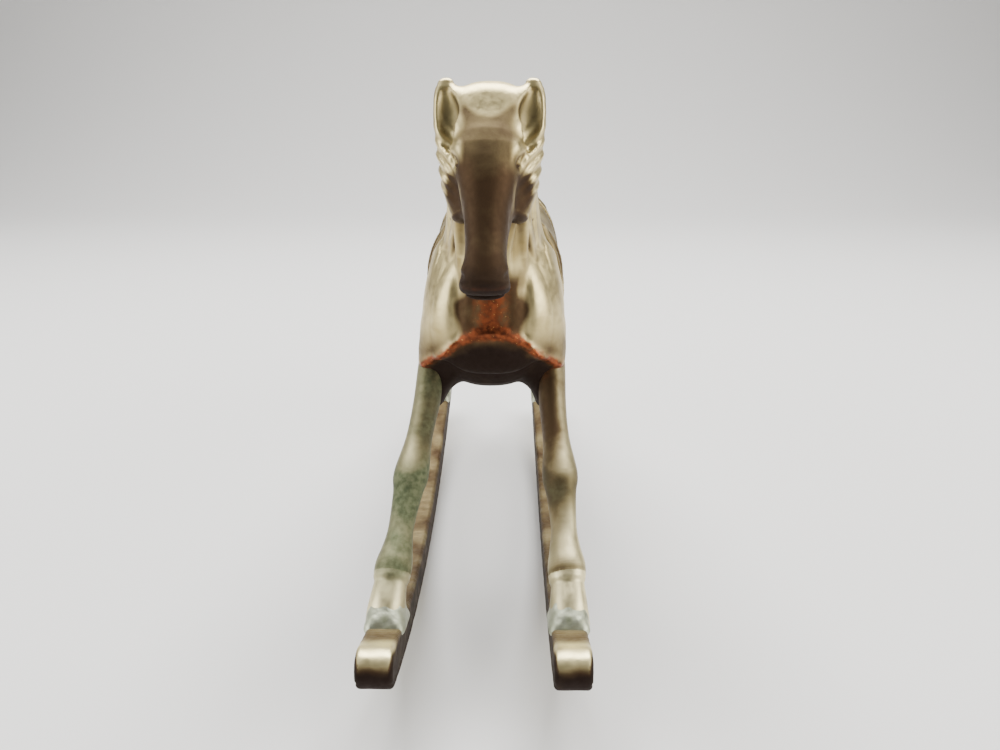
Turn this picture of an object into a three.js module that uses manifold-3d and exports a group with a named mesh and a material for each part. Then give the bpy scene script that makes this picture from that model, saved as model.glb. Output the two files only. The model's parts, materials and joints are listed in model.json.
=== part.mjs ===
// A cast brass rocking horse. Two hollow half shells, left and right, make the head, neck and
// trunk and meet on a seam down the middle. Four solid legs plug into the shells with spigots
// and stand on two curved rockers with pegs, held by a solder collar round each hoof. The saddle
// and the tail are castings of their own.
// Millimetres, +Z up, the horse faces -Y, and its own left side is +X. The origin is on the
// floor, below the middle of the whole. The shapes are drawn about BALANCE_Y, the place along
// the rockers where they touch the floor at rest, and the group is moved by it at the end.
import * as THREE from "three";
import { mergeVertices } from "three/addons/utils/BufferGeometryUtils.js";
import Module from "manifold-3d";

const wasm = await Module();
wasm.setup();

// Driving dimensions.
const ROCKER_RADIUS = 190; // of the edge that rolls on the floor
const ROCKER_THICK = 6.9;
const ROCKER_WIDTH = 6.4;
const ROCKER_GAUGE = 34; // between the two rockers' middles
const TOE_IN = 0.8; // of each rocker's front tip
const FRONT_REACH = 77; // from the resting point to where the rounded end begins
const FRONT_FACETS = 11; // flats on the rolling edge ahead of the resting flat
const REAR_FACETS = 10; // and behind it
const EDGE_ROUND = 0.7;
const BALANCE_Y = 3.05;
const LEAN = 0.035; // the horse leans to its own left, as a slope
const LEAN_FROM = 20; // height at which the lean begins
const GAP = 0.3; // clearance left between any two castings
const WALL = 2.6; // of the hollow shells
const SPIGOT_RADIUS = 1.9;
const PEG_RADIUS = 1.5;
const FORE_PEG_Y = -62.5;
const HIND_PEG_Y = 54.5;
const COLLAR_HEIGHT = 1.5;
const COLLAR_SPREAD = 0.8;
const FAR = 200; // beyond every piece

const FACET = Math.asin(FRONT_REACH / ROCKER_RADIUS) / (FRONT_FACETS + 0.5);
const FRONT_ANGLE = FACET * (FRONT_FACETS + 0.5);
const REAR_ANGLE = FACET * (REAR_FACETS + 0.5);
const ROCKER_CENTRE = ROCKER_RADIUS * Math.cos(FACET / 2); // height that puts the flat at 0
const ROCKER_INNER = ROCKER_RADIUS - ROCKER_THICK;

const brass = new THREE.MeshStandardMaterial({ color: 0x9a8a5c, roughness: 0.38, metalness: 1 });
const darkBrass = new THREE.MeshStandardMaterial({ color: 0x7d6c45, roughness: 0.42, metalness: 1 });
const solder = new THREE.MeshStandardMaterial({ color: 0x8e9488, roughness: 0.6, metalness: 1 });

// A station of a loft: the middle of a ring, and its two half sizes. depth lies in the plane
// that halves the horse, across the loft's line, and width lies along X.
const at = (y, z, depth, width, x = 0) => ({ y, z, depth, width, x });

const TRUNK = [
  at(-26.5, 64.5, 11.6, 11.0),
  at(-20.5, 63.6, 16.4, 13.4),
  at(-8.0, 64.3, 16.4, 14.2),
  at(8.0, 65.0, 15.2, 13.9),
  at(22.0, 66.0, 14.2, 13.4),
  at(32.0, 66.6, 13.4, 12.8),
  at(38.5, 66.8, 10.2, 9.6),
];
const NECK = [
  at(-10.5, 69.0, 16.0, 11.8),
  at(-17.5, 78.5, 13.2, 10.2),
  at(-23.5, 88.0, 10.8, 8.8),
  at(-28.0, 96.0, 9.4, 8.6),
  at(-31.5, 101.5, 7.4, 8.0),
];
const HEAD = [
  at(-34.4, 102.4, 6.6, 7.6),
  at(-40.4, 95.9, 7.7, 7.6),
  at(-45.2, 88.8, 6.0, 5.2),
  at(-48.6, 83.6, 4.6, 3.7),
  at(-51.2, 79.6, 4.2, 3.6),
  at(-52.7, 77.4, 3.9, 4.1),
];
const JAW = [at(-35.0, 97.6, 7.0, 9.0), at(-37.6, 92.8, 7.0, 8.7), at(-40.4, 87.4, 4.8, 6.6)];
const EAR = [
  at(-35.6, 100.0, 3.0, 3.4, 5.8),
  at(-36.6, 105.0, 2.4, 2.8, 6.9),
  at(-36.4, 108.8, 1.1, 1.2, 7.4),
];
const SHOULDER = [
  at(-15.0, 71.0, 9.0, 3.6, 9.8),
  at(-19.5, 60.0, 9.2, 5.0, 10.2),
  at(-23.5, 51.0, 5.6, 3.6, 11.8),
];
const HAUNCH = [
  at(27.5, 71.5, 9.5, 4.4, 8.6),
  at(29.5, 61.0, 10.0, 5.4, 9.4),
  at(34.5, 51.5, 6.2, 4.0, 11.0),
];
const FORELEG = [
  at(-21.5, 51.5, 4.2, 3.4, 12.1),
  at(-27.5, 45.4, 3.4, 2.8, 12.9),
  at(-33.5, 40.4, 2.9, 2.7, 13.7),
  at(-39.8, 35.6, 3.5, 3.5, 14.4),
  at(-43.0, 33.0, 2.9, 2.9, 14.8),
  at(-48.0, 29.3, 2.4, 2.4, 15.3),
  at(-53.2, 25.4, 3.4, 3.4, 15.8),
  at(-55.6, 23.5, 2.7, 2.7, 16.0),
  at(-58.2, 21.6, 3.0, 3.0, 16.2),
  at(-60.2, 19.6, 4.0, 3.5, 16.4),
  at(-61.8, 16.4, 4.7, 3.7, 16.5),
];
const HINDLEG = [
  at(35.5, 54.0, 6.0, 4.2, 11.2),
  at(41.5, 46.5, 4.6, 3.4, 12.1),
  at(47.1, 39.6, 3.2, 2.7, 13.0),
  at(50.7, 34.6, 3.7, 3.1, 13.9),
  at(52.1, 30.4, 2.8, 2.6, 14.6),
  at(53.3, 26.6, 2.4, 2.4, 15.3),
  at(54.5, 22.6, 3.3, 3.3, 15.9),
  at(54.9, 20.2, 2.7, 2.7, 16.2),
  at(54.9, 18.4, 3.0, 3.0, 16.4),
  at(54.7, 16.4, 4.0, 3.5, 16.5),
  at(54.3, 12.8, 4.6, 3.7, 16.5),
];
const TAIL = [
  at(41.5, 71.5, 2.4, 2.4),
  at(46.5, 74.0, 3.4, 3.0),
  at(52.0, 71.0, 4.6, 3.8),
  at(56.0, 63.0, 5.0, 4.2),
  at(59.0, 53.5, 4.5, 3.8),
  at(62.5, 44.5, 3.3, 3.1),
  at(66.5, 38.0, 1.6, 1.8),
];
const SEAT = [
  at(-12.5, 64.8, 19.4, 15.0),
  at(-9.0, 64.8, 19.2, 15.5),
  at(-1.5, 65.0, 17.2, 15.5),
  at(7.0, 65.4, 17.2, 15.4),
  at(13.0, 65.9, 19.2, 15.3),
  at(16.5, 66.0, 19.0, 15.2),
];

// A geometry as a solid for joining and cutting, and the reverse.
function solidOf(geometry) {
  const bare = geometry.index ? geometry.toNonIndexed() : geometry.clone();
  bare.deleteAttribute("normal");
  bare.deleteAttribute("uv");
  const merged = mergeVertices(bare, 1e-4);
  return new wasm.Manifold(
    new wasm.Mesh({
      numProp: 3,
      vertProperties: new Float32Array(merged.attributes.position.array),
      triVerts: new Uint32Array(merged.index.array),
    }),
  );
}

function meshOf(solid, material, name) {
  const made = solid.getMesh();
  const geometry = new THREE.BufferGeometry();
  geometry.setAttribute("position", new THREE.BufferAttribute(made.vertProperties, 3));
  geometry.setIndex(new THREE.BufferAttribute(made.triVerts, 1));
  geometry.computeVertexNormals();
  const mesh = new THREE.Mesh(geometry, material);
  mesh.name = name;
  return mesh;
}

// Cutting can leave a sliver beside the piece itself, so only the largest body is kept.
const largestOf = (solid) => solid.decompose().sort((a, b) => b.volume() - a.volume())[0];

// A closed skin through rounded rings that follow a smooth line through the stations, with a
// domed cap at each end. grow moves the whole skin out, or in where it is negative. A squareness
// above 2 fills the rings' corners out. side mirrors the line.
function loft(stations, { sides = 16, rows = 12, grow = 0, square = 2, cap = 1, side = 1 } = {}) {
  const line = new THREE.CatmullRomCurve3(stations.map((s) => new THREE.Vector3(side * s.x, s.y, s.z)));
  const sizes = new THREE.CatmullRomCurve3(stations.map((s) => new THREE.Vector3(s.depth, s.width, 0)));
  const across = new THREE.Vector3(1, 0, 0);
  const points = [];
  const addRing = (t, capAngle) => {
    const middle = line.getPoint(t);
    const size = sizes.getPoint(t);
    const along = line.getTangent(t);
    const up = new THREE.Vector3().crossVectors(along, across).normalize();
    const shrink = Math.cos(capAngle);
    middle.addScaledVector(along, Math.sin(capAngle) * (Math.min(size.x, size.y) * cap + grow));
    for (let i = 0; i < sides; i++) {
      const a = (2 * Math.PI * (i + 0.5)) / sides;
      const fill = (wave) => Math.sign(wave) * Math.abs(wave) ** (2 / square) * shrink;
      const point = middle.clone().addScaledVector(across, fill(Math.cos(a)) * (size.y + grow));
      points.push(point.addScaledVector(up, fill(Math.sin(a)) * (size.x + grow)));
    }
    return middle;
  };
  const capAngles = [1.36, 0.9, 0.45];
  const start = addRing(0, -capAngles[0]);
  for (const angle of capAngles.slice(1)) addRing(0, -angle);
  for (let i = 0; i <= rows; i++) addRing(i / rows, 0);
  for (const angle of capAngles.slice(1).reverse()) addRing(1, angle);
  const end = addRing(1, capAngles[0]);
  const last = points.length - sides;
  const startAt = points.push(start) - 1;
  const endAt = points.push(end) - 1;
  const faces = [];
  for (let i = 0; i < sides; i++) {
    const next = (i + 1) % sides;
    for (let row = 0; row < last; row += sides) {
      const ahead = row + sides;
      faces.push(row + i, row + next, ahead + i, row + next, ahead + next, ahead + i);
    }
    faces.push(startAt, next, i, endAt, last + i, last + next);
  }
  return solidOf(new THREE.BufferGeometry().setFromPoints(points).setIndex(faces));
}

// A round bar between two points.
function bar(from, to, radius, sides = 12) {
  const geometry = new THREE.CylinderGeometry(radius, radius, from.distanceTo(to), sides);
  const along = to.clone().sub(from).normalize();
  geometry.applyQuaternion(new THREE.Quaternion().setFromUnitVectors(new THREE.Vector3(0, 1, 0), along));
  const middle = from.clone().lerp(to, 0.5);
  geometry.translate(middle.x, middle.y, middle.z);
  return solidOf(geometry);
}

// An outline in the plane that halves the horse, a Shape of (y, z), made solid from one x to
// another, with its edges rounded off.
function acrossX(shape, from, to, round = 0) {
  const geometry = new THREE.ExtrudeGeometry(shape, {
    depth: to - from - 2 * round,
    bevelEnabled: round > 0,
    bevelThickness: round,
    bevelSize: round,
    bevelOffset: -round,
    bevelSegments: 1,
    curveSegments: 6,
  });
  // The extrusion runs along Z over an outline in X and Y: turn it to run along X.
  geometry.applyMatrix4(new THREE.Matrix4().set(0, 0, 1, from + round, 1, 0, 0, 0, 0, 1, 0, 0, 0, 0, 0, 1));
  return solidOf(geometry);
}

// The whole horse leans on its rockers.
const lean = (solid) =>
  solid.warp((v) => {
    v[0] += LEAN * (v[2] - LEAN_FROM);
  });

// The outside of head, neck and trunk as one solid skin.
function bodySkin(grow) {
  const parts = [
    loft(TRUNK, { sides: 20, rows: 11, grow, square: 2.25, cap: 0.45 }),
    loft(NECK, { sides: 16, rows: 6, grow, square: 2.15, cap: 0.7 }),
    loft(HEAD, { sides: 14, rows: 8, grow, square: 2.3, cap: 0.55 }),
    loft(JAW, { sides: 14, rows: 3, grow, cap: 0.7 }),
  ];
  for (const side of [1, -1]) {
    parts.push(loft(SHOULDER, { sides: 12, rows: 4, grow, side, cap: 0.7 }));
    parts.push(loft(HAUNCH, { sides: 12, rows: 4, grow, side, cap: 0.7 }));
    parts.push(loft(EAR, { sides: 8, rows: 3, grow, side }));
  }
  return parts.reduce((skin, part) => skin.add(part));
}

// The hollow inside: the trunk and the foot of the neck.
function bodyHollow() {
  const trunk = loft(TRUNK, { sides: 14, rows: 6, grow: -WALL, square: 2.25, cap: 0.45 });
  return trunk.add(loft(NECK.slice(0, 4), { sides: 12, rows: 3, grow: -WALL, square: 2.15, cap: 0.5 }));
}

// The bar that plugs a leg into the shell, along the leg's first stretch.
function legSpigot(stations, side, radius) {
  const [top, next] = stations.map((s) => new THREE.Vector3(side * s.x, s.y, s.z));
  const along = top.clone().sub(next).normalize();
  return bar(next.clone().addScaledVector(along, 2), top.clone().addScaledVector(along, 3), radius);
}

const tailSpigot = (radius) => bar(new THREE.Vector3(0, 34.5, 68.6), new THREE.Vector3(0, 46, 73.4), radius);

const leg = (stations, side, grow = 0) =>
  loft(stations, { sides: 10, rows: 22, grow, side, cap: 0.8, square: 2.2 });

// The rocker's middle line across X, at a place along Y.
const rockerX = (side, y) => side * (ROCKER_GAUGE / 2 - TOE_IN * (y / FRONT_REACH) ** 2);

// The point on a rocker's upper edge at a place along Y, and the way straight out of it.
function seatAt(y) {
  const angle = Math.asin(y / ROCKER_INNER);
  const out = new THREE.Vector3(0, -Math.sin(angle), Math.cos(angle));
  return { out, point: new THREE.Vector3(0, 0, ROCKER_CENTRE).addScaledVector(out, -ROCKER_INNER) };
}

// The peg under a hoof, from foot above the rocker's lower edge to a little way up the hoof.
function hoofPeg(y, side, radius, foot) {
  const { point, out } = seatAt(y);
  point.setX(rockerX(side, y));
  const low = point.clone().addScaledVector(out, foot - ROCKER_THICK);
  return bar(low, point.clone().addScaledVector(out, 2.5), radius);
}

// A rocker: a bar bent to a circle, with round ends, resting on the floor by one flat.
function rocker(side, grow) {
  const outer = ROCKER_RADIUS + grow;
  const inner = ROCKER_INNER - grow;
  const shape = new THREE.Shape();
  const onArc = (radius, angle) => [radius * Math.sin(angle), ROCKER_CENTRE - radius * Math.cos(angle)];
  const facets = FRONT_FACETS + REAR_FACETS + 1;
  shape.moveTo(...onArc(outer, -FRONT_ANGLE));
  for (let i = 1; i <= facets; i++) shape.lineTo(...onArc(outer, i * FACET - FRONT_ANGLE));
  const roundEnd = (angle, way) => {
    const steps = 6;
    const endRadius = (outer - inner) / 2;
    for (let i = 1; i < steps; i++) {
      const turn = (Math.PI * i) / steps;
      const [y, z] = onArc((outer + inner) / 2 + way * endRadius * Math.cos(turn), angle);
      const beyond = way * endRadius * Math.sin(turn);
      shape.lineTo(y + beyond * Math.cos(angle), z + beyond * Math.sin(angle));
    }
  };
  roundEnd(REAR_ANGLE, 1);
  for (let i = facets; i >= 0; i--) shape.lineTo(...onArc(inner, i * FACET - FRONT_ANGLE));
  roundEnd(-FRONT_ANGLE, -1);
  shape.closePath();
  const half = ROCKER_WIDTH / 2 + grow;
  return acrossX(shape, -half, half, EDGE_ROUND).warp((v) => {
    v[0] += rockerX(side, v[1]);
  });
}

// The leg casting: the bare leg, less the body and the rocker, with its spigot and its peg.
function legCasting(stations, side, clearBody, pegY) {
  const bare = lean(leg(stations, side)).subtract(clearBody).subtract(rocker(side, GAP));
  return largestOf(bare)
    .add(lean(legSpigot(stations, side, SPIGOT_RADIUS)))
    .add(hoofPeg(pegY, side, PEG_RADIUS, 0.4));
}

// A fillet of solder round a hoof, on the rocker's top.
function solderCollar(stations, side, pegY) {
  const hoof = stations[stations.length - 1];
  const { point, out } = seatAt(pegY);
  const rises = [
    [-0.9, COLLAR_SPREAD + 0.2],
    [GAP, COLLAR_SPREAD],
    [COLLAR_HEIGHT, GAP + 0.15],
  ];
  const rings = rises.map(([rise, spread]) => {
    const middle = point.clone().addScaledVector(out, rise);
    return at(middle.y, middle.z, hoof.depth + spread, hoof.width + spread, hoof.x);
  });
  const block = loft(rings, { sides: 14, rows: 2, side, square: 2.2, cap: 0.02 });
  return largestOf(block.subtract(lean(leg(stations, side, GAP))).subtract(rocker(side, GAP)));
}

// The saddle: a skin over the back with a raised pommel and cantle, trimmed to its flaps.
function saddle(clearSkin) {
  const flaps = new THREE.Shape();
  flaps.moveTo(-12, 90);
  flaps.lineTo(-12, 74);
  flaps.quadraticCurveTo(-12.2, 68, -9.6, 61);
  flaps.quadraticCurveTo(-8.0, 57, -3.2, 57);
  flaps.lineTo(3.2, 57);
  flaps.quadraticCurveTo(7.0, 57, 8.6, 61);
  flaps.quadraticCurveTo(11.4, 67, 16.2, 71);
  flaps.lineTo(16.2, 90);
  flaps.closePath();
  const seat = loft(SEAT, { sides: 22, rows: 9, square: 2.4, cap: 0.02 });
  return largestOf(seat.intersect(acrossX(flaps, -20, 20)).subtract(clearSkin));
}

// Half of the shell, to one side of the seam.
function shellHalf(shell, side) {
  const box = new THREE.BoxGeometry(FAR, 2 * FAR, 2 * FAR);
  box.translate((side * (FAR + GAP)) / 2, 0, 0);
  return largestOf(shell.intersect(solidOf(box)));
}

const horse = new THREE.Group();
const skin = bodySkin(0);
const clearSkin = bodySkin(GAP);
const clearBody = lean(clearSkin);

const cuts = [tailSpigot(SPIGOT_RADIUS + GAP), bodyHollow()];
for (const side of [1, -1]) {
  for (const stations of [FORELEG, HINDLEG]) cuts.push(legSpigot(stations, side, SPIGOT_RADIUS + GAP));
}
const shell = cuts.reduce((solid, cut) => solid.subtract(cut), skin);
horse.add(meshOf(lean(saddle(clearSkin)), darkBrass, "saddle"));

const bareTail = largestOf(loft(TAIL, { sides: 10, rows: 12, cap: 0.8 }).subtract(clearSkin));
horse.add(meshOf(lean(bareTail.add(tailSpigot(SPIGOT_RADIUS))), brass, "tail"));

for (const [word, side] of [
  ["left", 1],
  ["right", -1],
]) {
  horse.add(meshOf(lean(shellHalf(shell, side)), brass, `body_shell_${word}`));
  horse.add(meshOf(legCasting(FORELEG, side, clearBody, FORE_PEG_Y), brass, `foreleg_${word}`));
  horse.add(meshOf(legCasting(HINDLEG, side, clearBody, HIND_PEG_Y), brass, `hindleg_${word}`));
  horse.add(meshOf(solderCollar(FORELEG, side, FORE_PEG_Y), solder, `solder_collar_front_${word}`));
  horse.add(meshOf(solderCollar(HINDLEG, side, HIND_PEG_Y), solder, `solder_collar_rear_${word}`));
  const bored = rocker(side, 0)
    .subtract(hoofPeg(FORE_PEG_Y, side, PEG_RADIUS + GAP, -2))
    .subtract(hoofPeg(HIND_PEG_Y, side, PEG_RADIUS + GAP, -2));
  horse.add(meshOf(bored, brass, `rocker_${word}`));
}
horse.position.y = BALANCE_Y;

export default horse;
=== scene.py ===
# A cast brass rocking horse, pieced together in the order it would be on the bench: the two hollow
# body castings, the legs plugged into them, the tail, the saddle, then the rockers and the solder.
import json
import math
from concurrent.futures import ThreadPoolExecutor

import bmesh
import bpy
import numpy as np
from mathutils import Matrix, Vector


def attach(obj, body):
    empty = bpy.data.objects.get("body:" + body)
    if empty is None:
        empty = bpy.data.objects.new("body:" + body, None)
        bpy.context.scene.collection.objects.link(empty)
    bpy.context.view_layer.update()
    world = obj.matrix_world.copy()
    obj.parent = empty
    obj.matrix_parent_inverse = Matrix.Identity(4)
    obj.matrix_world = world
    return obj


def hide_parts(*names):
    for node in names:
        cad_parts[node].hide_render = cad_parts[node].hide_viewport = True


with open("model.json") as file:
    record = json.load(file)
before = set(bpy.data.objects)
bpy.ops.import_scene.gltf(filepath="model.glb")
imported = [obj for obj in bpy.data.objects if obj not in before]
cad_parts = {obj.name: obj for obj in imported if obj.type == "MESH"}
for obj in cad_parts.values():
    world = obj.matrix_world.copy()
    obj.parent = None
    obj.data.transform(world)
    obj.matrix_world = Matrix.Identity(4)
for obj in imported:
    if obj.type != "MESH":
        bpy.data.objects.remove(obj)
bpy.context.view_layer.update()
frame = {"record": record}


# ---------------------------------------------------------------- floor, light and camera
# The horse stands on a plain pale sweep of card. One broad soft light hangs above and behind it,
# one stands at each side, and the room in front is dim, so that what faces up or outwards shines.
LENS = 27.54
LOOK_DOWN = math.radians(21.5)
TURN_LEFT = math.radians(0.558)
EYE = (0.0052, -0.17195, 0.1104)


def floor_sweep():
    card = bmesh.new()
    bends = [k * math.pi / 24 for k in range(13)]
    section = [(-4.0, 0.0), (0.0, 0.0)]
    section += [(0.45 + 0.3 * math.sin(a), 0.3 - 0.3 * math.cos(a)) for a in bends]
    section += [(0.75, 1.3)]
    rows = [[card.verts.new((x, y, z)) for x in (-4.0, 4.0)] for y, z in section]
    for (a, b), (c, d) in zip(rows[:-1], rows[1:]):
        card.faces.new((a, b, d, c))
    mesh = bpy.data.meshes.new("floor_sweep")
    card.to_mesh(mesh)
    mesh.shade_smooth()
    sweep = bpy.data.objects.new("floor_sweep", mesh)
    bpy.context.scene.collection.objects.link(sweep)
    card_stock = bpy.data.materials.new("card_stock")
    card_stock.use_nodes = True
    shader = card_stock.node_tree.nodes["Principled BSDF"]
    shader.inputs["Base Color"].default_value = (0.70, 0.69, 0.67, 1)
    shader.inputs["Roughness"].default_value = 0.9
    mesh.materials.append(card_stock)


def softbox(name, place, size, watts, colour=(1, 1, 1)):
    lamp = bpy.data.lights.new(name, "AREA")
    lamp.shape = "RECTANGLE"
    lamp.size, lamp.size_y = size
    lamp.energy = watts
    lamp.color = colour
    holder = bpy.data.objects.new(name, lamp)
    holder.location = place
    holder.rotation_euler = (Vector((0, 0, 0.05)) - Vector(place)).to_track_quat("-Z", "Y").to_euler()
    bpy.context.scene.collection.objects.link(holder)


floor_sweep()
softbox("light_above", (0.0, 0.20, 0.58), (0.7, 0.4), 12.0)
softbox("light_left", (-0.52, -0.16, 0.24), (0.5, 0.40), 2.6)
softbox("light_right", (0.52, -0.20, 0.28), (0.5, 0.40), 3.6, (1, 0.98, 0.94))
room = bpy.data.worlds.new("dim_room")
room.use_nodes = True
room.node_tree.nodes["Background"].inputs["Color"].default_value = (0.52, 0.52, 0.54, 1)
room.node_tree.nodes["Background"].inputs["Strength"].default_value = 0.28
bpy.context.scene.world = room

view = bpy.data.cameras.new("view")
view.lens = LENS
view.sensor_width = 36
view.clip_start = 0.01
camera = bpy.data.objects.new("view", view)
camera.location = EYE
camera.rotation_euler = (math.pi / 2 - LOOK_DOWN, 0, TURN_LEFT)
bpy.context.scene.collection.objects.link(camera)
bpy.context.scene.camera = camera


# ---------------------------------------------------------------- head, neck and trunk castings
# Two brass shells cast from one carved pattern, left and right, soldered and filed flush down the
# middle. The ears, eyes, mane and muscles belong to the pattern. Sizes are in mm, as modelled
# upright about the resting point: a line of stations (y, z, half depth, half width, x).
TRUNK = [(-26.5, 64.5, 11.6, 10.4), (-20.5, 63.6, 16.2, 12.5), (-8.0, 64.3, 16.4, 13.2),
         (8.0, 65.0, 15.2, 13.0), (22.0, 66.0, 14.2, 12.6), (31.0, 66.7, 13.0, 11.7), (36.6, 67.0, 10.2, 9.5)]
NECK = [(-11.5, 68.5, 16.0, 11.0), (-17.5, 78.5, 13.2, 9.4), (-23.5, 88.0, 10.8, 8.0),
        (-28.0, 96.0, 9.2, 7.4), (-31.5, 101.5, 7.0, 6.8)]
HEAD = [(-34.8, 102.6, 6.4, 6.6), (-40.0, 96.2, 7.2, 6.5), (-44.9, 88.9, 5.8, 4.6),
        (-48.5, 83.6, 4.6, 3.5), (-51.0, 79.9, 4.1, 3.8), (-52.4, 77.9, 3.7, 4.25)]
CHEEK = [(-34.5, 97.6, 6.6, 3.4, 5.5), (-36.6, 92.8, 6.4, 3.3, 5.4), (-38.6, 87.6, 4.4, 2.5, 4.4)]
POLL = [(-15.5, 88.0, 6.0, 3.2), (-21.0, 97.6, 7.6, 5.0), (-28.5, 102.2, 6.9, 7.0), (-36.0, 102.8, 5.7, 6.6)]
EAR = [(-36.6, 98.6, 3.3, 3.4, 5.6), (-37.1, 102.6, 3.1, 3.3, 6.3), (-36.9, 106.0, 2.3, 2.6, 7.0),
       (-36.4, 107.8, 1.5, 2.0, 7.4), (-36.2, 108.75, 1.0, 1.4, 7.5)]
EAR_CUP = [(-40.8, 99.4, 1.2, 1.6, 6.6), (-40.4, 102.4, 2.2, 2.5, 6.9), (-39.5, 105.6, 1.8, 2.0, 7.3),
           (-38.4, 107.8, 1.0, 1.1, 7.6)]
SHOULDER = [(-13.0, 72.0, 8.4, 3.6, 7.9), (-18.0, 62.5, 9.4, 5.0, 8.7), (-21.5, 55.0, 6.6, 4.3, 10.5)]
FORE_SLEEVE = [(-18.6, 58.0, 6.6, 4.4, 10.3), (-22.2, 51.9, 4.9, 3.9, 11.6)]
FORE_WEB = [(-17.5, 55.5, 6.0, 3.4, 8.0), (-21.4, 50.6, 4.2, 2.4, 9.6), (-24.4, 47.0, 2.8, 1.5, 10.7),
            (-27.4, 44.0, 1.4, 0.8, 11.5)]
HAUNCH = [(27.5, 71.0, 9.5, 4.4, 7.9), (29.5, 62.0, 10.0, 5.4, 8.7), (33.5, 55.0, 7.4, 4.4, 10.3)]
RUMP = [(22.0, 66.4, 13.6, 12.2), (28.5, 67.2, 12.9, 11.7), (33.2, 67.5, 10.8, 10.3)]
HIND_SLEEVE = [(31.0, 58.5, 7.6, 4.6, 10.2), (36.2, 52.6, 6.2, 4.3, 11.2)]
HIND_WEB = [(29.5, 57.0, 6.0, 3.4, 7.6), (34.5, 51.5, 4.6, 2.4, 9.2), (38.0, 47.9, 2.8, 1.3, 10.2)]
TUFTS, TUFTS_REACH = (7.6, -38.5, 96.2), (2.6, 5.0, 4.6)
BODY_CELL = 0.62
NEAR_HOLLOW, WIDE_HOLLOW, RIDGE_DEPTH = 1.2, 4.0, 0.8     # mm off the surface, for its tones
LEAN, LEAN_BEHIND, MUZZLE_TURN = 2.1, 0.02, 0.045         # how the horse leans and turns its muzzle


def smooth_line(stations, steps):
    """A smooth line through the stations, as rows of x, y, z, half depth and half width."""
    rows = np.array([[s[4] if len(s) > 4 else 0.0, *s[:4]] for s in stations])
    rows = np.vstack([2 * rows[0] - rows[1], rows, 2 * rows[-1] - rows[-2]])
    line = []
    for a, b, c, d in zip(rows, rows[1:], rows[2:], rows[3:]):
        for t in np.arange(steps) / steps:
            bend = (2 * a - 5 * b + 4 * c - d) * t**2 + (3 * b - a - 3 * c + d) * t**3
            line.append(0.5 * (2 * b + (c - a) * t + bend))
    return np.array(line + [rows[-2]])


def bar(at, stations, square=2.0, cap=1.0, steps=4):
    """How far each point is outside a rounded bar through the stations, roughly, in mm."""
    line = smooth_line(stations, steps).astype(np.float32)
    girth = line[:, 3:].max() + 4.0
    near = np.all((at > line[:, :3].min(0) - girth) & (at < line[:, :3].max(0) + girth), axis=1)
    point = at[near]
    nearest = np.full(len(point), 9.0, np.float32)
    runs = line[1:, :3] - line[:-1, :3]
    ways = np.vstack([runs[:1], runs[:-1] + runs[1:], runs[-1:]])
    ways /= np.sqrt((ways**2).sum(1))[:, None]
    slack = 0.02
    for k in range(len(runs)):
        behind = (point - line[k, :3]) @ ways[k]
        ahead = (line[k + 1, :3] - point) @ ways[k + 1]
        past_start = (behind >= -slack) | (k == 0)
        before_end = (ahead >= -slack) | (k == len(runs) - 1)
        here = past_start & before_end & (behind + ahead > 0)
        spot, start, end = point[here], behind[here], ahead[here]
        reach = np.clip(start / (start + end), 0, 1)[:, None]
        section = line[k] + reach * (line[k + 1] - line[k])
        way = ways[k] + reach * (ways[k + 1] - ways[k])
        off = spot - section[:, :3]
        depth, width = section[:, 3], section[:, 4]
        lying = np.maximum(np.hypot(way[:, 1], way[:, 2]), 0.01)
        out = (off[:, 2] * way[:, 1] - off[:, 1] * way[:, 2]) / lying
        beyond = np.maximum(-start, 0) * (k == 0) + np.maximum(-end, 0) * (k == len(runs) - 1)
        parts = [(out, depth), (off[:, 0], width), (beyond, np.minimum(depth, width) * cap)]
        ratio = sum((abs(p) / size) ** square for p, size in parts) ** (1 / square) + 1e-6
        steep = np.sqrt(sum((abs(p) ** (square - 1) / size**square) ** 2 for p, size in parts)) + 1e-9
        nearest[here] = np.minimum(nearest[here], (ratio - 1) * ratio ** (square - 1) / steep)
    whole = np.full(len(at), 9.0, np.float32)
    whole[near] = nearest
    return whole


def melt(a, b, softness):
    """Two solids as one, with a fillet between them."""
    return np.minimum(a, b) - np.maximum(softness - abs(a - b), 0) ** 2 / (4 * softness)


def carve(a, b, softness):
    """The first solid less the second."""
    return -melt(-a, b, softness)


def swell(at, centre, reach):
    """1 at the centre, falling to nothing over about the reach."""
    return np.exp(-(((at - np.array(centre)) / np.array(reach)) ** 2).sum(1))


def crease(at, path, width, axes=(1, 2)):
    """1 along a path drawn on the plane of two axes, falling off to its sides."""
    flat = at[:, list(axes)]
    nearest = np.full(len(at), 1e3)
    for a, b in zip(np.array(path[:-1], float), np.array(path[1:], float)):
        run = b - a
        reach = np.clip((flat - a) @ run / (run @ run), 0, 1)
        nearest = np.minimum(nearest, ((flat - a - reach[:, None] * run) ** 2).sum(1))
    return np.exp(-nearest / width**2)


def mottle(at, size, turn=0.0):
    """Soft uneven blotches of about one size, between -1 and 1."""
    total = np.zeros(len(at))
    for k in range(6):
        way = np.array([math.sin(1.7 * k + turn), math.cos(2.3 * k + 2 * turn),
                        math.sin(3.1 * k + 0.7 + turn)])
        total += np.sin(at @ way * 6.3 / size + 5 * k + turn * 9)
    return total / 4


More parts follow.
